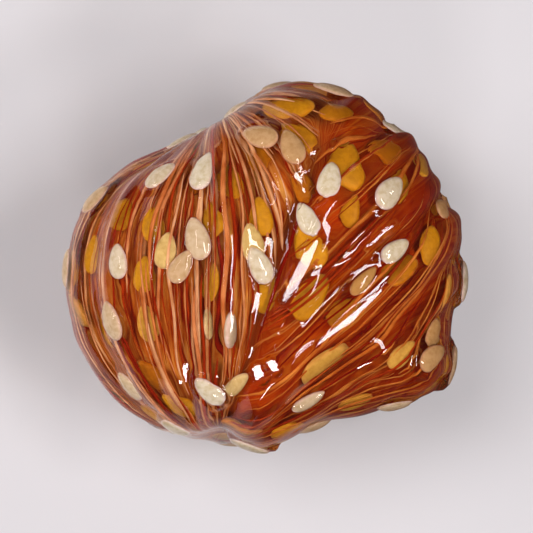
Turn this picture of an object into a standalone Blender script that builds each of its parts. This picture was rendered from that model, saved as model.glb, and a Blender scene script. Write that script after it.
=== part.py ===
"""A sesame hard candy: one pulled, pinched and folded lump of boiled sugar with sesame seeds in its skin.

Metres, +Z up, +Y towards the upper pinch. The origin is on the table, under the middle of the lump.
The lengths below are in millimetres and the angles in degrees; MM turns a length into metres.
"""
import math
import random

import bmesh
import bpy
import numpy as np
from mathutils import Matrix, Vector
from mathutils.bvhtree import BVHTree

MM = 0.001

# The form is measured from the heart, a point inside the lump
HEART = (0.2, -0.1, 11.0)
PLAN_RADIUS = 14.4
TOP_RISE = 11.3
BELLY_DROP = 11.5
SQUARENESS = 2.3

# Swellings and dents of the plan outline, as azimuth, half width and height
PLAN_LOBES = (
    (124, 18, -2.8),
    (203, 28, 1.2),
    (290, 15, -1.6),
    (325, 7, 2.4),
    (0, 15, 0.6),
)

# Soft swellings and dents of the skin, as azimuth, elevation, half width and height
SWELLS = (
    (60, 38, 22, 0.7),
    (165, 42, 20, 0.5),
    (325, 42, 22, -1.0),
    (30, -38, 20, 0.7),
    (215, -42, 24, -0.6),
    (100, -35, 20, -0.7),
)

# The sugar is gathered at two pinches, which lie this far to the left and up from the ends of the Y axis
PINCH_SHIFT = (-0.29, 0.0, 0.16)
PINCH_DEPTH = 1.1
PINCH_WIDTH = 9.0

# A flap is folded over the right side. The fold is a crest beside a groove, along a line in plan
FOLD_X = 0.93
FOLD_LEAN = 18.4
FOLD_CREST = 0.75
FOLD_CREST_PAST = 1.9
FOLD_CREST_WIDTH = 1.1
FOLD_GROOVE = 0.6
FOLD_GROOVE_WIDTH = 0.9
FOLD_BLEND = 1.3

# The fold fades in from the first number to the second: up the sides, and away from the upper pinch
FOLD_FADE_UP = (-2.0, 3.0)
FOLD_FADE_Y = (11.0, 7.0)

# Strands run round the left side from pinch to pinch: how many round the pull, depth and phase
STRANDS = (
    (11, 0.24, 0.4),
    (17, 0.20, 2.1),
    (26, 0.13, 4.0),
)

# A ring of strands fades out where the sugar is gathered so far that this many would go round its middle
STRANDS_AT_PINCH = 44

# Pleats run across the flap, up and to the right: distance apart, depth and phase
PLEAT_HEADING = 40.0
PLEATS = (
    (6.3, 0.26, 0.9),
    (3.7, 0.22, 2.6),
    (2.3, 0.13, 4.4),
)

# One hulled sesame seed, how far it stands out of the sugar, and how much narrower its tip is than its middle
SEED_LENGTH = 2.95
SEED_WIDTH = 1.8
SEED_THICKNESS = 0.9
SEED_PROUD = 0.4
SEED_TAPER = 0.28
SEED_SIZES = (0.86, 1.10)

# A seed lies flat on the skin as it runs within this distance
SEED_LIES_ON = 1.4

# Seeds on the shown side: where each lies in plan, and its turn from +X
SHOWN_SEEDS = (
    (-8.0, 6.9, 50),
    (-4.7, 7.2, 84),
    (-11.2, 0.4, 97),
    (-11.7, -4.1, 100),
    (-10.4, -9.1, 122),
    (-4.3, -9.4, 128),
    (-5.2, 2.1, 106),
    (-6.4, 0.0, 60),
    (-0.5, 0.1, 118),
    (-0.5, 9.8, 152),
    (1.9, 9.0, 105),
    (4.7, 6.5, 85),
    (3.0, 3.6, 118),
    (9.3, 5.6, 38),
    (9.7, 1.2, 30),
    (7.3, -1.1, 46),
    (12.7, -5.1, 46),
    (12.6, -6.9, 18),
    (3.2, -10.2, 36),
)

# The sides are seeded by a rule: a spiral of places, kept in this band of heights and where there is room
SPIRAL_PLACES = 170
SPIRAL_WANDER = 0.12
SPIRAL_BAND = (2.2, 15.5)
SEED_SPACING = 4.6
SEED_SWAY = 26.0
RANDOM_SEED = 7

# The fused seeds keep a crisp edge where faces meet at more than this angle
CREASE_ANGLE = 50.0


def smooth_step(value, low, high):
    """0 at low and before it, 1 at high and past it, and smooth between."""
    part = np.clip((value - low) / (high - low), 0.0, 1.0)
    return part * part * (3.0 - 2.0 * part)


def bell(gap, width):
    return np.exp(-0.5 * (gap / width) ** 2)


def heading_of(azimuth, elevation):
    flat = math.cos(math.radians(elevation))
    return np.array((
        flat * math.cos(math.radians(azimuth)),
        flat * math.sin(math.radians(azimuth)),
        math.sin(math.radians(elevation)),
    ))


def lump_reach(heading):
    """Distance from the heart to the smooth lump's skin, along each heading."""
    azimuth = np.degrees(np.arctan2(heading[:, 1], heading[:, 0]))
    level = np.sqrt(np.maximum(1.0 - heading[:, 2] ** 2, 0.0))
    plan = np.full(len(heading), PLAN_RADIUS)
    for place, width, height in PLAN_LOBES:
        gap = (azimuth - place + 180.0) % 360.0 - 180.0
        plan += height * bell(gap, width) * level ** 2
    rise = np.where(heading[:, 2] > 0.0, TOP_RISE, BELLY_DROP)
    spread = (level / plan) ** SQUARENESS + (np.abs(heading[:, 2]) / rise) ** SQUARENESS
    reach = spread ** (-1.0 / SQUARENESS)
    for azimuth, elevation, width, height in SWELLS:
        towards = np.clip(heading @ heading_of(azimuth, elevation), -1.0, 1.0)
        reach += height * bell(np.degrees(np.arccos(towards)), width)
    return reach


def skin(unit):
    """Places on the skin, from the heart, for points of a unit sphere whose Y axis is the pull."""
    along = unit[:, 1]
    turn = np.arctan2(unit[:, 2], unit[:, 0])
    leaning = unit + (along ** 2)[:, None] * np.array(PINCH_SHIFT)
    heading = leaning / np.linalg.norm(leaning, axis=1)[:, None]
    reach = lump_reach(heading)
    place = heading * reach[:, None]

    from_pinch = np.degrees(np.arccos(np.clip(np.abs(along), 0.0, 1.0)))
    fullness = np.sqrt(np.maximum(1.0 - along ** 2, 0.0))
    strands = np.zeros(len(unit))
    for count, depth, phase in STRANDS:
        gathered = smooth_step(fullness, count / STRANDS_AT_PINCH, 2.0 * count / STRANDS_AT_PINCH)
        strands += depth * gathered * np.sin(count * turn + phase)

    pleat_angle = math.radians(PLEAT_HEADING)
    over = place[:, 0] * math.sin(pleat_angle) - place[:, 1] * math.cos(pleat_angle)
    pleats = sum(depth * np.sin(math.tau * over / apart + phase) for apart, depth, phase in PLEATS)

    lean = math.radians(FOLD_LEAN)
    past = (place[:, 0] - FOLD_X) * math.cos(lean) - place[:, 1] * math.sin(lean)
    flap = smooth_step(past, -FOLD_BLEND, FOLD_BLEND)
    crest = FOLD_CREST * bell(past - FOLD_CREST_PAST, FOLD_CREST_WIDTH)
    groove = FOLD_GROOVE * bell(past, FOLD_GROOVE_WIDTH)
    on_top = smooth_step(place[:, 2], *FOLD_FADE_UP) * smooth_step(place[:, 1], *FOLD_FADE_Y)
    fold = (crest - groove) * on_top

    reach = reach + (1.0 - flap) * strands + flap * pleats + fold
    reach = reach - PINCH_DEPTH * bell(from_pinch, PINCH_WIDTH)
    place = heading * reach[:, None]
    place[:, 2] = np.maximum(place[:, 2], -HEART[2])
    return place


def build_lump():
    """The bare lump, as an object."""
    mesh = bpy.data.meshes.new("candy")
    body = bmesh.new()
    bmesh.ops.create_icosphere(body, subdivisions=5, radius=1.0)
    unit = np.array([vert.co[:] for vert in body.verts])
    unit /= np.linalg.norm(unit, axis=1)[:, None]
    places = (skin(unit) + np.array(HEART)) * MM
    for vert, place in zip(body.verts, places):
        vert.co = place
    body.to_mesh(mesh)
    body.free()
    candy = bpy.data.objects.new("candy", mesh)
    return candy


def pull_direction(point, pinches):
    """Direction of the pulled strands beside a point: from one pinch to the other, or along the flap."""
    upper, lower = pinches
    up = upper - point
    down = lower - point
    strand = up / max(up.length, MM) ** 3 - down / max(down.length, MM) ** 3
    lean = math.radians(FOLD_LEAN)
    past = (point.x / MM - FOLD_X) * math.cos(lean) - point.y / MM * math.sin(lean)
    if past > 0.0:
        angle = math.radians(PLEAT_HEADING)
        strand = Vector((math.cos(angle), math.sin(angle), 0.0))
    return strand.normalized()


def resting_place(tree, point):
    """Where a seed laid at a point of the skin rests, and the way out, both evened out over the ridges."""
    beside = tree.find_nearest_range(point, SEED_LIES_ON * MM)
    outward = sum((near[1] for near in beside), Vector()).normalized()
    lift = sum((near[0] - point).dot(outward) for near in beside) / len(beside)
    return point + outward * max(lift, 0.0), outward


def seed_places(candy):
    """Where each seed lies: a point on the skin, the way out of it, and the way its length points."""
    tree = BVHTree.FromPolygons(
        [vert.co for vert in candy.data.vertices],
        [face.vertices for face in candy.data.polygons],
    )
    heart = Vector(HEART) * MM
    outside = 2.0 * PLAN_RADIUS * MM
    ends = (skin(np.array(((0.0, 1.0, 0.0), (0.0, -1.0, 0.0)))) + np.array(HEART)) * MM
    pinches = [Vector(end) for end in ends]
    chance = random.Random(RANDOM_SEED)
    places = []
    for x, y, turn in SHOWN_SEEDS:
        above = Vector((x * MM, y * MM, heart.z + outside))
        point = tree.ray_cast(above, Vector((0.0, 0.0, -1.0)))[0]
        angle = math.radians(turn)
        long_way = Vector((math.cos(angle), math.sin(angle), 0.0))
        places.append((*resting_place(tree, point), long_way))
    golden = math.pi * (3.0 - math.sqrt(5.0))
    for step in range(SPIRAL_PLACES):
        height = 1.0 - 2.0 * (step + 0.5) / SPIRAL_PLACES
        level = math.sqrt(1.0 - height * height)
        angle = step * golden + chance.uniform(-SPIRAL_WANDER, SPIRAL_WANDER)
        sway = math.radians(chance.uniform(-SEED_SWAY, SEED_SWAY))
        way = Vector((level * math.cos(angle), level * math.sin(angle), height))
        point = tree.ray_cast(heart + way * outside, -way)[0]
        lowest, highest = SPIRAL_BAND
        if not lowest * MM < point.z < highest * MM:
            continue
        if min((point - other[0]).length for other in places) < SEED_SPACING * MM:
            continue
        point, outward = resting_place(tree, point)
        long_way = pull_direction(point, pinches)
        long_way.rotate(Matrix.Rotation(sway, 3, outward))
        places.append((point, outward, long_way))
    return places


def build_seed(name, point, outward, long_way, scale):
    """One teardrop seed lying in the skin."""
    seed = bmesh.new()
    bmesh.ops.create_uvsphere(seed, u_segments=6, v_segments=4, radius=0.5)
    long_way = (long_way - outward * long_way.dot(outward)).normalized()
    side_way = outward.cross(long_way)
    size = Vector((SEED_THICKNESS, SEED_WIDTH, SEED_LENGTH)) * MM * scale
    middle = point + outward * (SEED_PROUD * MM - size.x / 2.0)
    for vert in seed.verts:
        taper = 1.0 - SEED_TAPER * vert.co.z * 2.0
        thick, wide, long = vert.co.x * size.x, vert.co.y * size.y * taper, vert.co.z * size.z
        vert.co = middle + outward * thick + side_way * wide + long_way * long
    bmesh.ops.recalc_face_normals(seed, faces=seed.faces)
    mesh = bpy.data.meshes.new(name)
    seed.to_mesh(mesh)
    seed.free()
    return bpy.data.objects.new(name, mesh)


def fuse_seeds(candy):
    """Joins the seeds to the lump, so that the candy is one solid."""
    seeds = bpy.data.collections.new("seeds")
    bpy.context.scene.collection.children.link(seeds)
    chance = random.Random(RANDOM_SEED + 1)
    for number, (point, outward, long_way) in enumerate(seed_places(candy)):
        scale = chance.uniform(*SEED_SIZES)
        seeds.objects.link(build_seed(f"seed_{number:03d}", point, outward, long_way, scale))
    union = candy.modifiers.new("seeds", "BOOLEAN")
    union.operation = "UNION"
    union.operand_type = "COLLECTION"
    union.collection = seeds
    union.solver = "EXACT"
    bpy.context.view_layer.objects.active = candy
    bpy.ops.object.modifier_apply(modifier=union.name)
    for seed in list(seeds.objects):
        bpy.data.objects.remove(seed)
    bpy.data.collections.remove(seeds)


def sugar_material():
    sugar = bpy.data.materials.new("boiled_sugar")
    sugar.use_nodes = True
    shader = sugar.node_tree.nodes["Principled BSDF"]
    shader.inputs["Base Color"].default_value = (0.37, 0.085, 0.019, 1.0)
    shader.inputs["Roughness"].default_value = 0.12
    shader.inputs["Metallic"].default_value = 0.0
    return sugar


def main():
    for old in list(bpy.data.objects):
        bpy.data.objects.remove(old)
    parts = bpy.data.collections.new("sesame_hard_candy")
    bpy.context.scene.collection.children.link(parts)
    candy = build_lump()
    parts.objects.link(candy)
    fuse_seeds(candy)
    candy.data.materials.clear()
    candy.data.materials.append(sugar_material())
    candy.data.shade_smooth()
    candy.data.set_sharp_from_angle(angle=math.radians(CREASE_ANGLE))


main()
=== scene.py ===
"""The looks of a sesame hard candy: clear amber sugar over pulled strands, with sesame seeds at every depth.

Lengths in the named values are in millimetres; MM turns them into metres. Angles are in degrees and phases
in radians, unless a comment says otherwise.
+Z is up and +Y is towards the upper pinch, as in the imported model.
"""

import math
import random

import bmesh
import bpy
import numpy as np
from mathutils import Matrix, Vector
from mathutils.bvhtree import BVHTree


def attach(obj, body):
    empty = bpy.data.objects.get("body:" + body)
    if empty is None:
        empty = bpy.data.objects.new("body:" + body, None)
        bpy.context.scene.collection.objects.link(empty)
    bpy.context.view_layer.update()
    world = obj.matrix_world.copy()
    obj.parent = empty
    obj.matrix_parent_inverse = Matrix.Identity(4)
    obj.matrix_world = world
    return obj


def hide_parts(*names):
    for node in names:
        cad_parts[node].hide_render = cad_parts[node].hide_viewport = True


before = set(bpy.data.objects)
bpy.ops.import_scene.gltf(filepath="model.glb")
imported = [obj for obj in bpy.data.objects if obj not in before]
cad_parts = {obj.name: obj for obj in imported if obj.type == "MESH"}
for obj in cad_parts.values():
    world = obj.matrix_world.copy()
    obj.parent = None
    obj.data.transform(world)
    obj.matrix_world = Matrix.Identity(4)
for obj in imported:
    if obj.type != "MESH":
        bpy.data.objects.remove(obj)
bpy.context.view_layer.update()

MM = 0.001

# The form of the lump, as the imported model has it, measured from the heart, a point inside the lump
HEART = (0.2, -0.1, 11.0)
PLAN_RADIUS = 14.4
TOP_RISE = 11.3
BELLY_DROP = 11.5
SQUARENESS = 2.3
SUBDIVISIONS = 5

# A height well above the lump, from which places in plan are found on its skin
WELL_ABOVE = 33.0

# Swellings and dents of the plan outline, as azimuth, half width and height
PLAN_LOBES = (
    (124, 18, -2.8),
    (203, 28, 1.2),
    (290, 15, -1.6),
    (325, 7, 2.4),
    (0, 15, 0.6),
)

# Soft swellings and dents of the skin, as azimuth, elevation, half width and height
SWELLS = (
    (60, 38, 22, 0.7),
    (165, 42, 20, 0.5),
    (325, 42, 22, -1.0),
    (30, -38, 20, 0.7),
    (215, -42, 24, -0.6),
    (100, -35, 20, -0.7),
)

# The sugar is gathered at two pinches, which lie this far to the left and up from the ends of the Y axis
PINCH_SHIFT = (-0.29, 0.0, 0.16)
PINCH_DEPTH = 1.1
PINCH_WIDTH = 9.0

# A flap is folded over the right side. The fold is a crest beside a groove, along a line in plan
FOLD_X = 0.93
FOLD_LEAN = 18.4
FOLD_CREST = 0.75
FOLD_CREST_PAST = 1.9
FOLD_CREST_WIDTH = 1.1
FOLD_GROOVE = 0.6
FOLD_GROOVE_WIDTH = 0.9
FOLD_BLEND = 1.3

# The fold fades in from the first number to the second: up the sides, and away from the upper pinch
FOLD_FADE_UP = (-2.0, 3.0)
FOLD_FADE_Y = (11.0, 7.0)

# Strands run round the left side from pinch to pinch: how many round the pull, depth and phase
STRANDS = (
    (11, 0.24, 0.4),
    (17, 0.20, 2.1),
    (26, 0.13, 4.0),
)

# A ring of strands fades out where the sugar is gathered so far that this many would go round its middle
STRANDS_AT_PINCH = 44

# Pleats run across the flap, up and to the right: distance apart, depth and phase
PLEAT_HEADING = 40.0
PLEATS = (
    (6.3, 0.26, 0.9),
    (3.7, 0.22, 2.6),
    (2.3, 0.13, 4.4),
)

# Fine relief of the pulled skin: flat bands of drawn height, as spacing, depth, sway and draw. Spacing
# and sway are in degrees round the pull for the strands, and in millimetres for the pleats
STRAND_BANDS = (
    (5.2, 0.085, 1.6, 31),
    (1.9, 0.035, 2.2, 32),
)
PLEAT_BANDS = (
    (1.35, 0.100, 0.35, 33),
    (0.55, 0.030, 0.30, 34),
)

# The waves in which the bands sway, as a rate along them, then a size and a rate across them, and the
# rates along and across them of the waves in which they fade
STRAND_BAND_WAVES = ((3.0, 2.0, 2.0), (3.1, 5.0))
PLEAT_BAND_WAVES = ((1.0 / 4.1, 2.0, 0.4), (0.35, 0.8))

# How many bands are drawn to each side, how far their edges wander, as a share of the spacing, and how
# much they fade. On the left they fade in as the lump widens between these shares of its full girth
BANDS_DRAWN = 400
BAND_WANDER = 0.3
BAND_FADING = 0.25
BANDS_FADE_IN = (0.05, 0.45)

# Shallow dimples all over: their depth, and the rates along X, Y and Z of the waves that make them
DIMPLE_DEPTH = 0.08
DIMPLE_X = 1.1
DIMPLE_Y = 0.9
DIMPLE_Z = 0.8

# The dimples sway along Y: how much, and at what rate
DIMPLE_SWAY = (1.3, 0.7)

# The crest of the fold is a flat band, this high and falling this much for each millimetre past its middle
CREST_BAND = 0.64
CREST_BAND_FALL = 0.09
CREST_SMOOTHING = 0.85

# The groove beside it gets painted shade on the core, centred about this far past its middle, and this wide
GROOVE_PAINTED_SHADE_PAST = -0.2
GROOVE_PAINTED_SHADE_WIDTH = 0.55

# One hulled sesame seed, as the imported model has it, how far it stands out of the sugar, and within what
# distance it lies flat on the skin
SEED_LENGTH = 2.95
SEED_WIDTH = 1.8
SEED_THICKNESS = 0.9
SEED_PROUD = 0.4
SEED_TAPER = 0.28
SEED_SIZES = (0.86, 1.10)
SEED_LIES_ON = 1.4

# A dressed seed narrows more at its tip, its faces are flatter, and it is thinner to match
SEED_TIP = 0.10
SEED_FLATNESS = 0.8
SEED_FULLNESS = 0.86

# Segments round and rings along each seed that stands out, and each one that is sunk
STANDING_SEED_CUTS = (24, 16)
SUNK_SEED_CUTS = (16, 10)

# Seeds that stand out of the shown side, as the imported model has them: place in plan and turn from +X
SHOWN_SEEDS = (
    (-8.0, 6.9, 50),
    (-4.7, 7.2, 84),
    (-11.2, 0.4, 97),
    (-11.7, -4.1, 100),
    (-10.4, -9.1, 122),
    (-4.3, -9.4, 128),
    (-5.2, 2.1, 106),
    (-6.4, 0.0, 60),
    (-0.5, 0.1, 118),
    (-0.5, 9.8, 152),
    (1.9, 9.0, 105),
    (4.7, 6.5, 85),
    (3.0, 3.6, 118),
    (9.3, 5.6, 38),
    (9.7, 1.2, 30),
    (7.3, -1.1, 46),
    (12.7, -5.1, 46),
    (12.6, -6.9, 18),
    (3.2, -10.2, 36),
)

# Those on the sides follow a rule: a spiral of places, kept in this band of heights and where there is
# room. They wander by an angle in radians, and sway from the pull
SPIRAL_PLACES = 170
SPIRAL_WANDER = 0.12
SPIRAL_BAND = (2.2, 15.5)
SEED_SPACING = 4.6
SEED_SWAY = 26.0
RANDOM_SEED = 7

# How brown each of the shown seeds is under its film of sugar, from 0 to 1, and the range for the others
SHOWN_BROWNING = (
    0.16, 0.00, 0.16, 0.43, 0.30, 0.00, 0.40, 0.62, 0.08, 0.75,
    0.80, 0.00, 0.00, 0.10, 0.10, 1.00, 0.90, 0.85, 0.40,
)
BROWNING = (0.0, 0.9)

# How broad the seeds are drawn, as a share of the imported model's breadth
SEED_BREADTHS = (0.88, 1.0)

# The shown seeds that are seen nearly on edge, by number, and how broad they look
NARROW_SEEDS = {15: 0.62, 18: 0.58}

# A seed that stands on its edge looks this much less deep than one that lies flat
EDGE_SHALLOWER = 0.72

# The film of sugar over a seed that stands out, how much wider its bump is than the seed, the share of
# the bump over which it rises, and how far above or below the seed the skin may be for it to be lifted
FILM = 0.14
BUMP_MARGIN = 0.8
BUMP_RISE = 0.55
BUMP_REACH = 2.0

# Lamps round the candy: place, length and width, power in watts, and whether the sugar mirrors it
LAMPS = {
    "key": ((130.0, 0.0, 250.0), (115.0, 40.0), 0.27, True),
    "right": ((180.0, -100.0, 240.0), (90.0, 28.0), 0.18, True),
    "front": ((0.0, -240.0, 180.0), (70.0, 22.0), 0.15, True),
    "strip": ((-150.0, 30.0, 230.0), (150.0, 12.0), 0.045, True),
    "left": ((-300.0, 60.0, 90.0), (160.0, 80.0), 0.42, False),
    "above": ((-100.0, 60.0, 270.0), (120.0, 120.0), 0.26, False),
}

# Flat glossy ribbons of the skin, each tilted to mirror a lamp: place, turn, length, width and lamp
RIBBONS = (
    (2.53, -0.29, 60.8, 5.8, 1.25, "key"),
    (6.22, -3.85, 39.9, 6.7, 0.80, "right"),
    (8.5, 2.3, 36.0, 3.2, 0.66, "right"),
    (8.9, 5.15, 37.0, 2.5, 0.60, "right"),
    (-0.50, -7.95, 25.0, 1.4, 1.8, "front"),
    (0.46, -7.42, 25.0, 1.15, 1.6, "front"),
    (4.1, 5.0, 45.0, 1.0, 0.6, "key"),
    (2.4, 6.6, -50.0, 1.3, 0.6, "key"),
    (3.5, 8.5, 40.0, 1.1, 0.55, "key"),
    (5.1, 9.0, 80.0, 1.1, 0.45, "key"),
)

# How soft a ribbon's edge is, how much it narrows to its ends, and about how high it lies
RIBBON_EDGE = 0.10
RIBBON_TAPER = 0.45
RIBBON_HEIGHT = 22.0

# Seeds sunk in the clear sugar of the shown side: place in plan, turn, depth, size and roll about the length
SUNK_SEEDS = (
    (-13.6, 1.0, 92, 0.9, 1.0, 0),
    (-7.6, 1.2, 80, 0.45, 0.95, 0),
    (-9.5, -0.6, 80, 1.0, 0.92, 15),
    (-9.3, -4.4, 95, 1.25, 1.0, 45),
    (-4.3, 3.6, 98, 1.1, 0.98, 10),
    (-0.4, 3.8, 95, 0.9, 1.0, 0),
    (-1.0, 1.8, 100, 0.45, 1.0, 0),
    (3.05, 1.55, 110, 1.0, 1.22, 0),
    (3.6, -2.5, 60, 1.05, 1.3, 0),
    (6.1, 8.0, 80, 1.1, 1.4, 0),
    (4.6, -7.6, 35, 1.15, 1.5, 25),
    (1.6, 12.4, 10, 1.0, 1.4, 0),
    (12.9, 1.6, 60, 1.1, 1.0, 0),
    (10.5, -6.7, 30, 0.7, 0.95, 0),
    (-2.2, -8.9, 40, 0.4, 0.8, 0),
    (-2.75, -4.9, 88, 0.85, 0.95, 78),
    (-4.5, -4.4, 95, 0.95, 0.85, 68),
    (-8.8, 3.3, 98, 1.1, 0.9, 20),
)

# How brown they are, as above
SUNK_BROWNING = 0.3

# Seeds sunk on the other sides, and deeper ones all round: places, depth, spacing, greatest height and draw
SUNK_ROUND = (210, (0.45, 1.2), 3.0, SPIRAL_BAND[1], 11)
SUNK_DEEP = (300, (1.2, 1.6), 2.8, WELL_ABOVE, 12)

# They wander and roll by angles in radians, sway from the pull, and none lies lower than this
SUNK_WANDER = 0.3
SUNK_ROLL = 0.35
SUNK_SWAY = 35.0
LOWEST_SUNK = 1.6

# The darker body inside lies this deep under the skin, with this share of its relief and fine relief
CORE_DEPTH = 2.0
CORE_RELIEF = 0.9
CORE_FINE = 0.35

# Strands seen inside the clear sugar: number, share kept under the flap, depth, width and draw
DARK_STRANDS = (250, 0.9, (0.20, 1.6), (0.06, 0.30), 21)
PALE_STRANDS = (400, 0.6, (0.10, 1.3), (0.05, 0.38), 22)

# A strand's path: the length of a step, steps each way, how far it sways, and the length of that wave
STRAND_STEP = 0.5
STRAND_STEPS = (9, 30)
STRAND_SWAY = (0.0, 0.16)
STRAND_WAVE = 8.5

# A strand's section: its sides, its thickness as a share of its width, and how bluntly it tapers
STRAND_SIDES = 6
STRAND_FLATNESS = 0.5
STRAND_BLUNTNESS = 0.6

# A strand starts above this height, stops this far from a pinch, and has at least this many points
LOWEST_STRAND = 1.5
PINCH_CLEARANCE = 1.2
SHORTEST_PATH = 6

# A dark strand runs under the fold as painted shade: its distance past the groove, ends along Y, depth and
# width
FOLD_SHADE_LINE_PAST = 0.35
FOLD_SHADE_LINE_ENDS = (5.0, -6.5)
FOLD_SHADE_LINE_DEPTH = 0.35
FOLD_SHADE_LINE_WIDTH = 0.34

# Cuts across each side of the cubes that become the skin and the core
SKIN_CUTS = 127
CORE_CUTS = 63

# Colours are linear. The layers of the core, from the darkest to the palest, on the left and in the flap
PULLED_LAYERS = (
    (0.38, (0.27, 0.014, 0.0010)),
    (0.51, (0.54, 0.135, 0.0140)),
    (0.67, (0.74, 0.345, 0.0700)),
)
FOLDED_LAYERS = (
    (0.34, (0.29, 0.012, 0.0004)),
    (0.50, (0.39, 0.045, 0.0020)),
    (0.70, (0.54, 0.130, 0.0090)),
)
WHITE = (1.0, 1.0, 1.0)
AMBER_PATCH = (0.80, 0.62, 0.50)
# Painted shade along the fold's groove: the dark colour the core turns to there, and how far it goes
GROOVE_PAINTED_SHADE_COLOUR = (0.10, 0.006, 0.001)
GROOVE_PAINTED_SHADE = 0.7

# A seed's colour as more sugar lies over it, and what a browned seed, its faces and its rim multiply it by
SEED_DEPTHS = (
    (0.00, (0.57, 0.52, 0.56)),
    (0.20, (0.62, 0.46, 0.18)),
    (0.37, (0.60, 0.29, 0.006)),
    (1.00, (0.42, 0.12, 0.003)),
)
SEED_BROWNED = (0.74, 0.42, 0.15)
SEED_FACES = (0.92, 0.95, 0.84)
SEED_RIM = (1.12, 1.03, 1.12)
SEED_MOTTLE = (0.80, 0.74, 0.60)

# The brown at a seed's tip, and how much of it there is
SEED_TIP_COLOUR = (0.40, 0.20, 0.06)
SEED_TIP_SHARE = 0.30

# Strands near the skin, deep in the sugar and under the flap, and the faintest of all
DARK_STRAND_COLOURS = (
    (0.22, 0.009, 0.001),
    (0.24, 0.009, 0.001),
    (0.20, 0.008, 0.001),
    (0.38, 0.045, 0.004),
)
PALE_STRAND_COLOURS = (
    (0.66, 0.40, 0.24),
    (0.52, 0.20, 0.04),
    (0.56, 0.21, 0.040),
    (0.48, 0.12, 0.015),
)
STRAND_STREAKS = (0.70, 0.50, 0.35)
STRAND_FAINTNESS = 0.85

# The clear sugar tints what shines through it
SUGAR_TINT = (0.99, 0.93, 0.86)
SUGAR_ROUGHNESS = 0.03
SUGAR_IOR = 1.48

# The table as it looks, and the painted reflection of it that the sugar shows, pale on the left and dark red
# on the right. The two blend over this distance to each side of the middle. The table is this large, and this
# far under the candy
TABLE_COLOUR = (0.76, 0.72, 0.745)
PAINTED_REFLECTION_LEFT = (0.95, 0.88, 0.88)
PAINTED_REFLECTION_RIGHT = (0.12, 0.03, 0.02)
PAINTED_REFLECTION_EDGE = 10.0
TABLE_SIZE = 600.0
TABLE_DROP = 0.1

# Strength of the white light from all round
ROOM_LIGHT = 0.07

# The camera looks straight down, as in the photograph, from this height. At the height of the heart, half
# the width of its view is this
CAMERA_HEIGHT = 360.0
HALF_VIEW = 20.5


def smooth_step(value, low, high):
    """0 at low and before it, 1 at high and past it, and smooth between."""
    part = np.clip((value - low) / (high - low), 0.0, 1.0)
    return part * part * (3.0 - 2.0 * part)


def bell(gap, width):
    return np.exp(-0.5 * (gap / width) ** 2)


def heading_of(azimuth, elevation):
    flat = math.cos(math.radians(elevation))
    return np.array((
        flat * math.cos(math.radians(azimuth)),
        flat * math.sin(math.radians(azimuth)),
        math.sin(math.radians(elevation)),
    ))


def lump_reach(heading):
    """Distance from the heart to the smooth lump's skin, along each heading."""
    azimuth = np.degrees(np.arctan2(heading[:, 1], heading[:, 0]))
    level = np.sqrt(np.maximum(1.0 - heading[:, 2] ** 2, 0.0))
    plan = np.full(len(heading), PLAN_RADIUS)
    for place, width, height in PLAN_LOBES:
        gap = (azimuth - place + 180.0) % 360.0 - 180.0
        plan += height * bell(gap, width) * level ** 2
    rise = np.where(heading[:, 2] > 0.0, TOP_RISE, BELLY_DROP)
    spread = (level / plan) ** SQUARENESS + (np.abs(heading[:, 2]) / rise) ** SQUARENESS
    reach = spread ** (-1.0 / SQUARENESS)
    for azimuth, elevation, width, height in SWELLS:
        towards = np.clip(heading @ heading_of(azimuth, elevation), -1.0, 1.0)
        reach += height * bell(np.degrees(np.arccos(towards)), width)
    return reach


def flat_bands(across, spacing, depth, draw):
    """Relief of flat bands side by side: straight between drawn heights at uneven places."""
    chance = random.Random(draw)
    numbers = range(-BANDS_DRAWN, BANDS_DRAWN)
    places = [number + chance.uniform(-BAND_WANDER, BAND_WANDER) for number in numbers]
    heights = [chance.uniform(-1.0, 1.0) for place in places]
    return depth * np.interp(across / spacing, places, heights)


def fine_bands(place, along, across, bands, waves):
    """Fine bands side by side, which sway, come and go.

    place is where each point lies in the units of the spacing, and along and across feed the waves.
    """
    (sway_along, sway_size, sway_across), (fade_along, fade_across) = waves
    swaying = sway_along * along + sway_size * np.sin(sway_across * across)
    fading = fade_along * along + fade_across * across
    relief = np.zeros(len(place))
    for spacing, depth, sway, draw in bands:
        swayed = place + sway * np.sin(swaying + draw)
        strength = 1.0 - BAND_FADING + BAND_FADING * np.sin(fading + draw)
        relief += strength * flat_bands(swayed, spacing, depth, draw)
    return relief


def dimples(place):
    """Shallow dimples, where two waves over the skin cross."""
    x, y, z = place.T
    size, rate = DIMPLE_SWAY
    return DIMPLE_DEPTH * np.sin(DIMPLE_X * x + size * np.sin(rate * y)) * np.sin(DIMPLE_Y * y + DIMPLE_Z * z)


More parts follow.
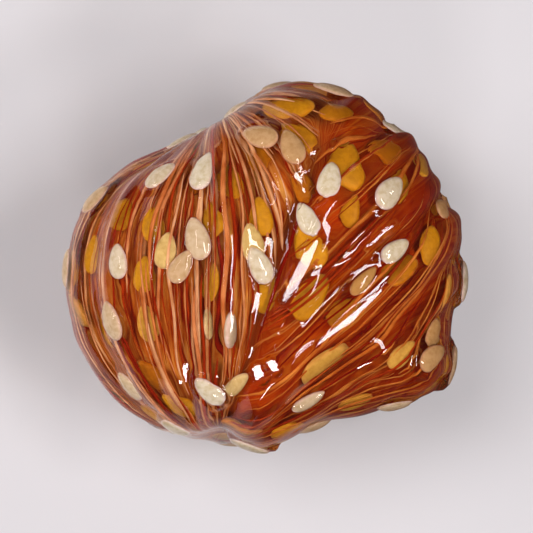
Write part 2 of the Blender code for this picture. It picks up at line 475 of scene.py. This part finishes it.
def skin(unit, fine=0.0, depth=0.0, relief_scale=1.0):
    """Places on the skin, from the heart, for points of a unit sphere whose Y axis is the pull.

    fine is the share of the fine relief, depth how far under the skin the places lie, and relief_scale
    the share of the strands, pleats and fold. The second result holds the values that the materials use.
    """
    along = unit[:, 1]
    turn = np.arctan2(unit[:, 2], unit[:, 0])
    leaning = unit + (along ** 2)[:, None] * np.array(PINCH_SHIFT)
    heading = leaning / np.linalg.norm(leaning, axis=1)[:, None]
    reach = lump_reach(heading)
    place = heading * reach[:, None]

    from_pinch = np.degrees(np.arccos(np.clip(np.abs(along), 0.0, 1.0)))
    fullness = np.sqrt(np.maximum(1.0 - along ** 2, 0.0))
    strands = np.zeros(len(unit))
    for count, height, phase in STRANDS:
        gathered = smooth_step(fullness, count / STRANDS_AT_PINCH, 2.0 * count / STRANDS_AT_PINCH)
        strands += height * gathered * np.sin(count * turn + phase)

    pleat_angle = math.radians(PLEAT_HEADING)
    over = place[:, 0] * math.sin(pleat_angle) - place[:, 1] * math.cos(pleat_angle)
    run = place[:, 0] * math.cos(pleat_angle) + place[:, 1] * math.sin(pleat_angle)
    pleats = sum(height * np.sin(math.tau * over / apart + phase) for apart, height, phase in PLEATS)

    lean = math.radians(FOLD_LEAN)
    past = (place[:, 0] - FOLD_X) * math.cos(lean) - place[:, 1] * math.sin(lean)
    flap = smooth_step(past, -FOLD_BLEND, FOLD_BLEND)
    crest = FOLD_CREST * bell(past - FOLD_CREST_PAST, FOLD_CREST_WIDTH)
    if fine:
        crest = np.minimum(crest, CREST_BAND - CREST_BAND_FALL * (past - FOLD_CREST_PAST))
    groove = FOLD_GROOVE * bell(past, FOLD_GROOVE_WIDTH)
    on_top = smooth_step(place[:, 2], *FOLD_FADE_UP) * smooth_step(place[:, 1], *FOLD_FADE_Y)

    relief = (1.0 - flap) * strands + flap * pleats + (crest - groove) * on_top
    if fine:
        left = fine_bands(np.degrees(turn), along, turn, STRAND_BANDS, STRAND_BAND_WAVES)
        left = left * smooth_step(fullness, *BANDS_FADE_IN)
        right = fine_bands(over, run, over, PLEAT_BANDS, PLEAT_BAND_WAVES)
        smoothed = CREST_SMOOTHING * on_top * bell(past - FOLD_CREST_PAST, FOLD_CREST_WIDTH)
        ridges = ((1.0 - flap) * left + flap * right) * (1.0 - smoothed)
        relief = relief + fine * (ridges + dimples(place))
    reach = reach + relief_scale * relief - PINCH_DEPTH * bell(from_pinch, PINCH_WIDTH) - depth
    place = heading * reach[:, None]
    place[:, 2] = np.maximum(place[:, 2], depth - HEART[2])
    values = {
        "turn": turn,
        "along": along,
        "over": over,
        "run": run,
        "flap": flap,
        # Where the core gets painted shade along the fold's groove
        "groove": on_top * bell(past - GROOVE_PAINTED_SHADE_PAST, GROOVE_PAINTED_SHADE_WIDTH),
    }
    return place, values


def add_values(mesh, values):
    """Keeps a named number at each point of a mesh, for its material."""
    for name, numbers in values.items():
        layer = mesh.attributes.new(name, "FLOAT", "POINT")
        layer.data.foreach_set("value", np.asarray(numbers, dtype=np.float32))


def grid_ball(name, cuts):
    """A cube cut into a grid, and the places of its points on a unit sphere, evenly spread."""
    cube = bmesh.new()
    bmesh.ops.create_cube(cube, size=2.0)
    bmesh.ops.subdivide_edges(cube, edges=cube.edges, cuts=cuts, use_grid_fill=True)
    mesh = bpy.data.meshes.new(name)
    cube.to_mesh(mesh)
    cube.free()
    corners = np.empty(len(mesh.vertices) * 3)
    mesh.vertices.foreach_get("co", corners)
    corners = np.tan(corners.reshape(-1, 3) * math.pi / 4.0)
    return mesh, corners / np.linalg.norm(corners, axis=1)[:, None]


def place_points(mesh, places):
    mesh.vertices.foreach_set("co", (places * MM).ravel())
    mesh.update()


def point_normals(mesh):
    normals = np.empty(len(mesh.vertices) * 3)
    mesh.vertices.foreach_get("normal", normals)
    return normals.reshape(-1, 3)


def lump_tree(relief_scale=1.0):
    """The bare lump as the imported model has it, or without its relief, for finding places on its skin."""
    ball = bmesh.new()
    bmesh.ops.create_icosphere(ball, subdivisions=SUBDIVISIONS, radius=1.0)
    unit = np.array([vert.co[:] for vert in ball.verts])
    unit /= np.linalg.norm(unit, axis=1)[:, None]
    places = (skin(unit, relief_scale=relief_scale)[0] + np.array(HEART)) * MM
    faces = [[vert.index for vert in face.verts] for face in ball.faces]
    ball.free()
    return BVHTree.FromPolygons([Vector(place) for place in places], faces)


def pinch_places():
    ends = skin(np.array(((0.0, 1.0, 0.0), (0.0, -1.0, 0.0))))[0]
    return [Vector(end) for end in (ends + np.array(HEART)) * MM]


def fold_past(point):
    """How far a point lies past the fold's line in plan, in millimetres."""
    lean = math.radians(FOLD_LEAN)
    return (point.x / MM - FOLD_X) * math.cos(lean) - point.y / MM * math.sin(lean)


def pull_direction(point, pinches):
    """Direction of the pulled strands beside a point: from one pinch to the other, or along the flap."""
    upper, lower = pinches
    up = upper - point
    down = lower - point
    strand = (up / max(up.length, MM) ** 3 - down / max(down.length, MM) ** 3).normalized()
    angle = math.radians(PLEAT_HEADING)
    pleat = Vector((math.cos(angle), math.sin(angle), 0.0))
    return pleat if fold_past(point) > 0.0 else strand


def resting_place(tree, point):
    """Where a seed laid at a point of the skin rests, and the way out, both evened out over the ridges."""
    beside = tree.find_nearest_range(point, SEED_LIES_ON * MM)
    outward = sum((near[1] for near in beside), Vector()).normalized()
    lift = sum((near[0] - point).dot(outward) for near in beside) / len(beside)
    return point + outward * max(lift, 0.0), outward


def from_above(tree, x, y):
    """The point of the skin that shows from above at a place in plan."""
    above = Vector((x * MM, y * MM, WELL_ABOVE * MM))
    return tree.ray_cast(above, Vector((0.0, 0.0, -1.0)))[0]


def plan_direction(turn):
    angle = math.radians(turn)
    return Vector((math.cos(angle), math.sin(angle), 0.0))


def spiral_ways(places, wander, sway, chance):
    """Headings spread evenly round the lump, each with a drawn sway for what lies there."""
    golden = math.pi * (3.0 - math.sqrt(5.0))
    for step in range(places):
        height = 1.0 - 2.0 * (step + 0.5) / places
        level = math.sqrt(1.0 - height * height)
        angle = step * golden + chance.uniform(-wander, wander)
        turned = math.radians(chance.uniform(-sway, sway))
        yield Vector((level * math.cos(angle), level * math.sin(angle), height)), turned


def skin_along(tree, way):
    """The point of the skin that lies this way from the heart, and the way out of the skin there."""
    heart = Vector(HEART) * MM
    return tree.ray_cast(heart + way * 2.0 * PLAN_RADIUS * MM, -way)[:2]


def lay_seed(point, outward, long_way, size, sink, browning, breadth=1.0, roll=0.0):
    """A seed: where it lies and how it is turned, its size and breadth, how deep it is, and how brown."""
    return {
        "point": point,
        "outward": outward,
        "long_way": long_way,
        "size": size,
        "sink": sink,
        "browning": browning,
        "breadth": breadth,
        "roll": roll,
    }


def standing_seeds(tree, pinches):
    """The seeds that stand out of the skin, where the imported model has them."""
    places = []
    for x, y, turn in SHOWN_SEEDS:
        point, outward = resting_place(tree, from_above(tree, x, y))
        places.append((point, outward, plan_direction(turn)))
    lowest, highest = SPIRAL_BAND
    for way, sway in spiral_ways(SPIRAL_PLACES, SPIRAL_WANDER, SEED_SWAY, random.Random(RANDOM_SEED)):
        point = skin_along(tree, way)[0]
        if not lowest * MM < point.z < highest * MM:
            continue
        if min((point - other[0]).length for other in places) < SEED_SPACING * MM:
            continue
        point, outward = resting_place(tree, point)
        long_way = pull_direction(point, pinches)
        long_way.rotate(Matrix.Rotation(sway, 3, outward))
        places.append((point, outward, long_way))

    sizes = random.Random(RANDOM_SEED + 1)
    colours = random.Random(RANDOM_SEED + 2)
    sink = SEED_THICKNESS / 2.0 - SEED_PROUD + FILM
    seeds = []
    for number, (point, outward, long_way) in enumerate(places):
        browning = colours.uniform(*BROWNING)
        breadth = colours.uniform(*SEED_BREADTHS)
        size = sizes.uniform(*SEED_SIZES)
        if number < len(SHOWN_BROWNING):
            browning = SHOWN_BROWNING[number]
        breadth = NARROW_SEEDS.get(number, breadth)
        seeds.append(lay_seed(point, outward, long_way, size, sink, browning, breadth=breadth))
    return seeds


def hand_sunk_seeds(tree):
    """The seeds that the clear sugar of the shown side holds."""
    seeds = []
    for x, y, turn, sink, size, roll in SUNK_SEEDS:
        point = from_above(tree, x, y)
        outward = resting_place(tree, point)[1]
        turned = math.radians(roll)
        seeds.append(lay_seed(point, outward, plan_direction(turn), size, sink, SUNK_BROWNING, roll=turned))
    return seeds


def drawn_sunk_seeds(tree, pinches, others, places, depths, spacing, highest, draw):
    """Seeds that a rule spreads inside the sugar, clear of each other and of the others given."""
    chance = random.Random(draw)
    taken = [seed["point"] - seed["outward"] * seed["sink"] * MM for seed in others]
    seeds = []
    for way, sway in spiral_ways(places, SUNK_WANDER, SUNK_SWAY, chance):
        sink = chance.uniform(*depths)
        size = chance.uniform(*SEED_SIZES)
        browning = chance.random()
        roll = chance.gauss(0.0, SUNK_ROLL)
        point = skin_along(tree, way)[0]
        outward = resting_place(tree, point)[1]
        middle = point - outward * sink * MM
        if not LOWEST_SUNK * MM < middle.z or point.z > highest * MM:
            continue
        if min((middle - other).length for other in taken) < spacing * MM:
            continue
        taken.append(middle)
        long_way = pull_direction(point, pinches)
        long_way.rotate(Matrix.Rotation(sway, 3, outward))
        seeds.append(lay_seed(point, outward, long_way, size, sink, browning, roll=roll))
    return seeds


def seed_frame(seed):
    """The middle of a seed, and its three ways: out of the flat face, across and along."""
    outward = seed["outward"]
    long_way = (seed["long_way"] - outward * seed["long_way"].dot(outward)).normalized()
    flat_way = outward.copy()
    flat_way.rotate(Matrix.Rotation(seed["roll"], 3, long_way))
    side_way = flat_way.cross(long_way)
    middle = seed["point"] - outward * seed["sink"] * MM
    return middle, flat_way, side_way, long_way


def seed_object(name, seeds, segments, rings):
    """All seeds of one kind as one mesh of teardrops."""
    ball = bmesh.new()
    bmesh.ops.create_uvsphere(ball, u_segments=segments, v_segments=rings, radius=1.0)
    unit = np.array([vert.co[:] for vert in ball.verts])
    # Sorted, because a ball's faces don't come in the same order each run
    ring_faces = sorted([vert.index for vert in face.verts] for face in ball.faces)
    ball.free()
    along = unit[:, 2]
    taper = 1.0 - SEED_TAPER * along - SEED_TIP * np.maximum(along, 0.0) ** 3
    thick = SEED_FULLNESS * np.sign(unit[:, 0]) * np.abs(unit[:, 0]) ** SEED_FLATNESS
    edge = 1.0 - np.abs(unit[:, 0])
    points = []
    faces = []
    values = {"sink": [], "browning": [], "edge": [], "tip": []}
    for number, seed in enumerate(seeds):
        middle, flat_way, side_way, long_way = seed_frame(seed)
        half = 0.5 * seed["size"] * MM
        width = SEED_WIDTH * seed["breadth"]
        points.append(
            np.array(middle)
            + np.outer(thick * SEED_THICKNESS * half, np.array(flat_way))
            + np.outer(unit[:, 1] * taper * width * half, np.array(side_way))
            + np.outer(along * SEED_LENGTH * half, np.array(long_way))
        )
        first = number * len(unit)
        faces += [[first + corner for corner in face] for face in ring_faces]
        over_seed = seed["sink"] - EDGE_SHALLOWER * abs(math.sin(seed["roll"])) * seed["size"]
        values["sink"].append(np.full(len(unit), over_seed))
        values["browning"].append(np.full(len(unit), seed["browning"]))
        values["edge"].append(edge)
        values["tip"].append(along)
    mesh = bpy.data.meshes.new(name)
    mesh.from_pydata(np.concatenate(points).tolist(), [], faces)
    mesh.update()
    add_values(mesh, {key: np.concatenate(numbers) for key, numbers in values.items()})
    mesh.shade_smooth()
    return bpy.data.objects.new(name, mesh)


def seed_bumps(places, seeds):
    """How far the skin rises to cover each seed that stands out, at places in millimetres, and where."""
    height = np.zeros(len(places))
    covered = np.zeros(len(places), dtype=bool)
    for seed in seeds:
        middle, flat_way, side_way, long_way = seed_frame(seed)
        gap = places - np.array(middle) / MM
        along = gap @ np.array(long_way)
        across = gap @ np.array(side_way)
        above = gap @ np.array(flat_way)
        half_length = SEED_LENGTH * seed["size"] / 2.0
        half_width = SEED_WIDTH * seed["size"] * seed["breadth"] / 2.0
        half_width = half_width * (1.0 - SEED_TAPER * np.clip(along / half_length, -1.0, 1.0))
        inside = 1.0 - (along / half_length) ** 2 - (across / half_width) ** 2
        top = SEED_THICKNESS * seed["size"] / 2.0 * np.sqrt(np.clip(inside, 0.0, 1.0))
        beside = 1.0 - (along / (half_length + BUMP_MARGIN)) ** 2 - (across / (half_width + BUMP_MARGIN)) ** 2
        near = np.abs(above) < BUMP_REACH
        height = np.maximum(height, smooth_step(beside, 0.0, BUMP_RISE) * near * (top + FILM - above))
        covered |= near & (inside > 0.0)
    return height, covered


def flatten_ribbons(places, covered):
    """Levels the glossy ribbons on the upper side, tilted to mirror their lamps up to the camera."""
    for x, y, turn, length, width, lamp in RIBBONS:
        towards = np.array(LAMPS[lamp][0]) - np.array((x, y, RIBBON_HEIGHT))
        facing = towards / np.linalg.norm(towards) + np.array((0.0, 0.0, 1.0))
        gap = places[:, :2] - np.array((x, y))
        ahead = np.array((math.cos(math.radians(turn)), math.sin(math.radians(turn))))
        along = np.abs(gap @ ahead)
        across = np.abs(gap @ np.array((-ahead[1], ahead[0])))
        half = width / 2.0 * (1.0 - RIBBON_TAPER * (along / (length / 2.0)) ** 2)
        inside = 1.0 - smooth_step(along, length / 2.0 - RIBBON_EDGE, length / 2.0 + RIBBON_EDGE)
        inside = inside * (1.0 - smooth_step(across, half - RIBBON_EDGE, half + RIBBON_EDGE))
        inside = inside * (places[:, 2] > HEART[2])
        plane = -(gap @ facing[:2]) / facing[2]
        level = np.average(places[:, 2] - plane, weights=inside)
        raised = places[:, 2] + inside * (level + plane - places[:, 2])
        places[:, 2] = np.where(covered, np.maximum(raised, places[:, 2]), raised)


def sugar_object(seeds):
    """The clear outer sugar, with its pulled ridges and a bump over each seed that stands out."""
    mesh, unit = grid_ball("sugar", SKIN_CUTS)
    place, values = skin(unit, fine=1.0)
    place = place + np.array(HEART)
    place_points(mesh, place)
    height, covered = seed_bumps(place, seeds)
    place = place + point_normals(mesh) * height[:, None]
    flatten_ribbons(place, covered)
    place[:, 2] = np.maximum(place[:, 2], 0.0)
    place_points(mesh, place)
    add_values(mesh, values)
    mesh.shade_smooth()
    return bpy.data.objects.new("sugar", mesh)


def core_object():
    """The darker sugar inside, which closes the view."""
    mesh, unit = grid_ball("core", CORE_CUTS)
    place, values = skin(unit, fine=CORE_FINE, depth=CORE_DEPTH, relief_scale=CORE_RELIEF)
    place_points(mesh, place + np.array(HEART))
    add_values(mesh, values)
    mesh.shade_smooth()
    return bpy.data.objects.new("core", mesh)


def strand_path(smooth, pinches, start, outward, steps):
    """Points and outward ways along the pull on the smooth lump, both ways from a start on one side."""
    side = fold_past(start) > 0.0
    halves = []
    for sign in (-1.0, 1.0):
        point, normal = start.copy(), outward.copy()
        half = []
        for step in range(steps):
            half.append((point.copy(), normal.copy()))
            pull = pull_direction(point, pinches)
            pull = pull - normal * pull.dot(normal)
            point, normal = smooth.find_nearest(point + pull.normalized() * sign * STRAND_STEP * MM)[:2]
            at_pinch = min((point - pinch).length for pinch in pinches) < PINCH_CLEARANCE * MM
            if at_pinch or (fold_past(point) > 0.0) != side:
                break
        halves.append(half)
    backward, forward = halves
    return backward[:0:-1] + forward


def fold_shade_line(smooth):
    """The path of the dark strand that paints the fold's shade, on the smooth lump."""
    lean = math.tan(math.radians(FOLD_LEAN))
    path = []
    for y in np.arange(FOLD_SHADE_LINE_ENDS[0], FOLD_SHADE_LINE_ENDS[1], -STRAND_STEP):
        point = from_above(smooth, FOLD_X + FOLD_SHADE_LINE_PAST + y * lean, y)
        path.append((point, (point - Vector(HEART) * MM).normalized()))
    return path


def drawn_strands(smooth, pinches, number, flap_share, depths, widths, draw):
    """Paths along the pull at drawn places, each with its depth, width, tone, sway and phase."""
    chance = random.Random(draw)
    for strand in range(number):
        way = Vector((chance.gauss(0.0, 1.0), chance.gauss(0.0, 1.0), chance.gauss(0.0, 1.0))).normalized()
        steps = chance.randint(*STRAND_STEPS)
        depth = chance.uniform(*depths)
        width = chance.uniform(*widths)
        kept = chance.random() < flap_share
        tone = chance.random()
        sway = chance.uniform(*STRAND_SWAY)
        phase = chance.uniform(0.0, math.tau)
        start, outward = skin_along(smooth, way)
        path = strand_path(smooth, pinches, start, outward, steps)
        if start.z < LOWEST_STRAND * MM or len(path) < SHORTEST_PATH:
            continue
        if kept or fold_past(start) < 0.0:
            yield path, depth, width, tone, sway, phase


def strand_object(name, tree, strands):
    """Fine strands inside the clear sugar, each a flat tube that tapers to both ends."""
    heart = Vector(HEART) * MM
    points = []
    faces = []
    values = {"sink": [], "flap": [], "tone": []}
    for path, depth, width, tone, sway, phase in strands:
        first = len(points)
        last = len(path) - 1
        for step, (point, normal) in enumerate(path):
            along = (path[min(step + 1, last)][0] - path[max(step - 1, 0)][0]).normalized()
            side = normal.cross(along)
            swell = math.sin(math.pi * (step + 0.5) / (last + 1)) ** STRAND_BLUNTNESS
            swaying = math.sin(phase + math.tau * step * STRAND_STEP / STRAND_WAVE)
            swayed = point + side * sway * swaying * MM
            middle = skin_along(tree, (swayed - heart).normalized())[0] - normal * depth * MM
            half = width * swell * MM / 2.0
            for corner in range(STRAND_SIDES):
                angle = math.tau * corner / STRAND_SIDES
                rim = side * math.cos(angle) * half + normal * math.sin(angle) * STRAND_FLATNESS * half
                points.append((middle + rim)[:])
                values["sink"].append(depth)
                values["flap"].append(1.0 if fold_past(middle) > 0.0 else 0.0)
                values["tone"].append(tone)
        for step in range(last):
            ring = first + step * STRAND_SIDES
            ahead = ring + STRAND_SIDES
            for corner in range(STRAND_SIDES):
                beside = (corner + 1) % STRAND_SIDES
                faces.append((ring + corner, ring + beside, ahead + beside, ahead + corner))
        faces.append(tuple(first + corner for corner in reversed(range(STRAND_SIDES))))
        faces.append(tuple(first + last * STRAND_SIDES + corner for corner in range(STRAND_SIDES)))
    mesh = bpy.data.meshes.new(name)
    mesh.from_pydata(points, [], faces)
    mesh.update()
    add_values(mesh, values)
    mesh.shade_smooth()
    return bpy.data.objects.new(name, mesh)


class Nodes:
    """A material's nodes, with short ways to add and join them."""

    def __init__(self, name):
        self.material = bpy.data.materials.new(name)
        self.material.use_nodes = True
        self.tree = self.material.node_tree
        self.shader = self.tree.nodes["Principled BSDF"]
        self.output = self.tree.nodes["Material Output"]

    def add(self, kind, **settings):
        node = self.tree.nodes.new(kind)
        for name, value in settings.items():
            setattr(node, name, value)
        return node

    def feed(self, socket, value):
        """Joins another node's result to a socket, or sets the socket to a number or a colour."""
        if isinstance(value, bpy.types.NodeSocket):
            self.tree.links.new(value, socket)
        elif isinstance(value, tuple):
            socket.default_value = (*value, 1.0)
        else:
            socket.default_value = value

    def dull(self, colour, roughness, specular):
        """Gives the shader its colour and the little gloss it has under the clear sugar."""
        self.feed(self.shader.inputs["Base Color"], colour)
        self.shader.inputs["Roughness"].default_value = roughness
        self.shader.inputs["Specular IOR Level"].default_value = specular

    def value(self, name):
        return self.add("ShaderNodeAttribute", attribute_name=name).outputs["Fac"]

    def math(self, operation, first, second):
        node = self.add("ShaderNodeMath", operation=operation)
        self.feed(node.inputs[0], first)
        self.feed(node.inputs[1], second)
        return node.outputs[0]

    def spread(self, value, low, high):
        """The value as 0 at low and 1 at high."""
        node = self.add("ShaderNodeMapRange")
        self.feed(node.inputs["Value"], value)
        node.inputs["From Min"].default_value = low
        node.inputs["From Max"].default_value = high
        return node.outputs["Result"]

    def ramp(self, value, stops):
        node = self.add("ShaderNodeValToRGB")
        self.feed(node.inputs["Fac"], value)
        elements = node.color_ramp.elements
        while len(elements) < len(stops):
            elements.new(0.5)
        for element, (position, colour) in zip(elements, stops):
            element.position = position
            element.color = (*colour, 1.0)
        return node.outputs["Color"]

    def mix(self, factor, first, second, blend="MIX"):
        node = self.add("ShaderNodeMix", data_type="RGBA", blend_type=blend)
        self.feed(node.inputs["Factor"], factor)
        self.feed(node.inputs["A"], first)
        self.feed(node.inputs["B"], second)
        return node.outputs["Result"]

    def noise(self, vector, scale, detail=3.0, roughness=0.5):
        node = self.add("ShaderNodeTexNoise")
        self.feed(node.inputs["Vector"], vector)
        node.inputs["Scale"].default_value = scale
        node.inputs["Detail"].default_value = detail
        node.inputs["Roughness"].default_value = roughness
        return node.outputs["Fac"]

    def bump(self, height, strength, distance):
        node = self.add("ShaderNodeBump")
        node.inputs["Strength"].default_value = strength
        node.inputs["Distance"].default_value = distance
        self.feed(node.inputs["Height"], height)
        self.feed(self.shader.inputs["Normal"], node.outputs["Normal"])

    def place(self):
        return self.add("ShaderNodeTexCoord").outputs["Object"]

    def strata(self, across_strands, along_strands, across_pleats, along_pleats):
        """Where a point lies in the pulled layers: fast across the pull and slow along it."""
        strands = self.add("ShaderNodeCombineXYZ")
        self.feed(strands.inputs[0], self.math("MULTIPLY", self.value("turn"), across_strands))
        self.feed(strands.inputs[1], self.math("MULTIPLY", self.value("along"), along_strands))
        pleats = self.add("ShaderNodeCombineXYZ")
        self.feed(pleats.inputs[0], self.math("MULTIPLY", self.value("over"), across_pleats))
        self.feed(pleats.inputs[1], self.math("MULTIPLY", self.value("run"), along_pleats))
        node = self.add("ShaderNodeMix", data_type="VECTOR")
        self.feed(node.inputs["Factor"], self.value("flap"))
        self.feed(node.inputs["A"], strands.outputs[0])
        self.feed(node.inputs["B"], pleats.outputs[0])
        return node.outputs["Result"]


def sugar_material():
    """Clear boiled sugar. A lamp's light passes straight in, with the same tint, to light what is inside."""
    nodes = Nodes("clear_sugar")
    shader = nodes.shader
    nodes.feed(shader.inputs["Base Color"], SUGAR_TINT)
    shader.inputs["Transmission Weight"].default_value = 1.0
    shader.inputs["Roughness"].default_value = SUGAR_ROUGHNESS
    shader.inputs["IOR"].default_value = SUGAR_IOR
    passing = nodes.add("ShaderNodeBsdfTransparent")
    nodes.feed(passing.inputs["Color"], SUGAR_TINT)
    path = nodes.add("ShaderNodeLightPath")
    mixed = nodes.add("ShaderNodeMixShader")
    nodes.feed(mixed.inputs[0], path.outputs["Is Shadow Ray"])
    nodes.feed(mixed.inputs[1], shader.outputs[0])
    nodes.feed(mixed.inputs[2], passing.outputs[0])
    nodes.feed(nodes.output.inputs["Surface"], mixed.outputs[0])
    return nodes.material


def core_material():
    """Red-brown sugar in fine layers along the pull, with softer patches of amber, and painted shade
    darkening it along the fold's groove.
    """
    nodes = Nodes("pulled_core_with_groove_shade")
    strata = nodes.strata(across_strands=30.0, along_strands=2.2, across_pleats=3.0, along_pleats=0.18)
    layers = nodes.noise(strata, scale=1.0, detail=5.0, roughness=0.6)
    pulled = nodes.ramp(layers, PULLED_LAYERS)
    folded = nodes.ramp(layers, FOLDED_LAYERS)
    colour = nodes.mix(nodes.value("flap"), pulled, folded)
    patches = nodes.spread(nodes.noise(nodes.place(), scale=260.0, detail=2.0), low=0.35, high=0.75)
    amber = nodes.mix(patches, AMBER_PATCH, WHITE)
    colour = nodes.mix(1.0, colour, amber, "MULTIPLY")
    # Painted shade: the core darkens along the fold's groove
    shade = nodes.math("MULTIPLY", nodes.value("groove"), GROOVE_PAINTED_SHADE)
    nodes.dull(nodes.mix(shade, colour, GROOVE_PAINTED_SHADE_COLOUR), roughness=0.6, specular=0.0)
    return nodes.material


def seed_material():
    """Hulled sesame: cream, paler at the rim and brown at the tip, mottled, and amber as it lies deeper."""
    nodes = Nodes("hulled_sesame")
    depth = nodes.spread(nodes.value("sink"), low=0.1, high=2.1)
    through = nodes.ramp(depth, SEED_DEPTHS)
    toasted = nodes.mix(nodes.value("browning"), WHITE, SEED_BROWNED)
    colour = nodes.mix(1.0, through, toasted, "MULTIPLY")
    edge = nodes.spread(nodes.value("edge"), low=0.45, high=0.9)
    colour = nodes.mix(1.0, colour, nodes.mix(edge, SEED_FACES, SEED_RIM), "MULTIPLY")
    tip = nodes.spread(nodes.value("tip"), low=0.75, high=1.0)
    colour = nodes.mix(nodes.math("MULTIPLY", tip, SEED_TIP_SHARE), colour, SEED_TIP_COLOUR)
    mottle = nodes.noise(nodes.place(), scale=2400.0, detail=4.0, roughness=0.6)
    shade = nodes.ramp(mottle, ((0.32, SEED_MOTTLE), (0.60, WHITE)))
    nodes.dull(nodes.mix(1.0, colour, shade, "MULTIPLY"), roughness=0.5, specular=0.1)
    nodes.bump(mottle, strength=0.5, distance=0.04 * MM)
    return nodes.material


def strand_material(name, colours):
    """Strands that change colour as they lie deeper and under the flap, and some fainter than others."""
    shallow, deep, under_flap, faintest = colours
    nodes = Nodes(name)
    depth = nodes.spread(nodes.value("sink"), low=0.1, high=1.8)
    colour = nodes.ramp(depth, ((0.0, shallow), (1.0, deep)))
    colour = nodes.mix(nodes.value("flap"), colour, under_flap)
    colour = nodes.mix(nodes.math("MULTIPLY", nodes.value("tone"), STRAND_FAINTNESS), colour, faintest)
    streaks = nodes.noise(nodes.place(), scale=600.0, detail=2.0)
    shade = nodes.ramp(streaks, ((0.35, STRAND_STREAKS), (0.65, WHITE)))
    nodes.dull(nodes.mix(1.0, colour, shade, "MULTIPLY"), roughness=0.6, specular=0.0)
    return nodes.material


def floor_material():
    """A pale table that shows glossy rays a painted reflection: white on the left and dark red on the right.
    """
    nodes = Nodes("pale_table_painted_reflection")
    across = nodes.add("ShaderNodeSeparateXYZ")
    nodes.feed(across.inputs[0], nodes.place())
    right = nodes.spread(across.outputs["X"], low=-PAINTED_REFLECTION_EDGE * MM, high=PAINTED_REFLECTION_EDGE * MM)
    # Painted reflection: what glossy rays see of the table, white on the left and dark red on the right
    mirrored = nodes.mix(right, PAINTED_REFLECTION_LEFT, PAINTED_REFLECTION_RIGHT)
    path = nodes.add("ShaderNodeLightPath")
    colour = nodes.mix(path.outputs["Is Glossy Ray"], TABLE_COLOUR, mirrored)
    nodes.feed(nodes.shader.inputs["Base Color"], colour)
    nodes.shader.inputs["Roughness"].default_value = 0.6
    return nodes.material


def dress(piece, material):
    """Adds a piece of the candy to the scene, with its material and its place in the frame."""
    bpy.context.scene.collection.objects.link(piece)
    piece.data.materials.append(material)
    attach(piece, "root")
    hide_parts("candy")


def make_candy():
    tree = lump_tree()
    smooth = lump_tree(relief_scale=0.0)
    pinches = pinch_places()

    standing = standing_seeds(tree, pinches)
    shown = hand_sunk_seeds(tree)
    sunk = drawn_sunk_seeds(tree, pinches, standing + shown, *SUNK_ROUND)
    deep = drawn_sunk_seeds(tree, pinches, shown + sunk, *SUNK_DEEP)
    dress(sugar_object(standing), sugar_material())
    dress(core_object(), core_material())
    seed_look = seed_material()
    dress(seed_object("standing_seeds", standing, *STANDING_SEED_CUTS), seed_look)
    dress(seed_object("sunk_seeds", shown + sunk + deep, *SUNK_SEED_CUTS), seed_look)

    dark = list(drawn_strands(smooth, pinches, *DARK_STRANDS))
    # The fold's painted shade, a dark strand under the fold, goes in with the dark strands
    dark.append((fold_shade_line(smooth), FOLD_SHADE_LINE_DEPTH, FOLD_SHADE_LINE_WIDTH, 0.0, 0.0, 0.0))
    pale = list(drawn_strands(smooth, pinches, *PALE_STRANDS))
    dress(strand_object("dark_strands_and_fold_shade", tree, dark), strand_material("dark_strands_and_fold_shade", DARK_STRAND_COLOURS))
    dress(strand_object("pale_strands", tree, pale), strand_material("pale_strands", PALE_STRAND_COLOURS))


def make_floor():
    bpy.ops.mesh.primitive_plane_add(size=TABLE_SIZE * MM, location=(0.0, 0.0, -TABLE_DROP * MM))
    floor = bpy.context.object
    floor.name = "table"
    floor.data.materials.append(floor_material())


def add_lamp(name, place, size, power, mirrored):
    """A soft lamp aimed at the candy's middle. One that isn't mirrored only fills the shade."""
    lamp = bpy.data.lights.new(name, "AREA")
    lamp.shape = "RECTANGLE"
    lamp.size, lamp.size_y = size[0] * MM, size[1] * MM
    lamp.energy = power
    holder = bpy.data.objects.new(name, lamp)
    holder.location = Vector(place) * MM
    aim = Vector(HEART) - Vector(place)
    holder.rotation_euler = aim.to_track_quat("-Z", "Y").to_euler()
    holder.visible_glossy = mirrored
    bpy.context.scene.collection.objects.link(holder)


def make_light():
    world = bpy.data.worlds.new("soft_room")
    bpy.context.scene.world = world
    world.use_nodes = True
    background = world.node_tree.nodes["Background"]
    background.inputs["Color"].default_value = (*WHITE, 1.0)
    background.inputs["Strength"].default_value = ROOM_LIGHT
    for name, settings in LAMPS.items():
        add_lamp(name, *settings)
    bpy.context.scene.view_settings.view_transform = "Standard"


def make_camera():
    camera = bpy.data.cameras.new("camera")
    holder = bpy.data.objects.new("camera", camera)
    holder.location = (0.0, 0.0, CAMERA_HEIGHT * MM)
    camera.angle = 2.0 * math.atan(HALF_VIEW / (CAMERA_HEIGHT - HEART[2]))
    bpy.context.scene.collection.objects.link(holder)
    bpy.context.scene.camera = holder


make_candy()
make_floor()
make_light()
make_camera()
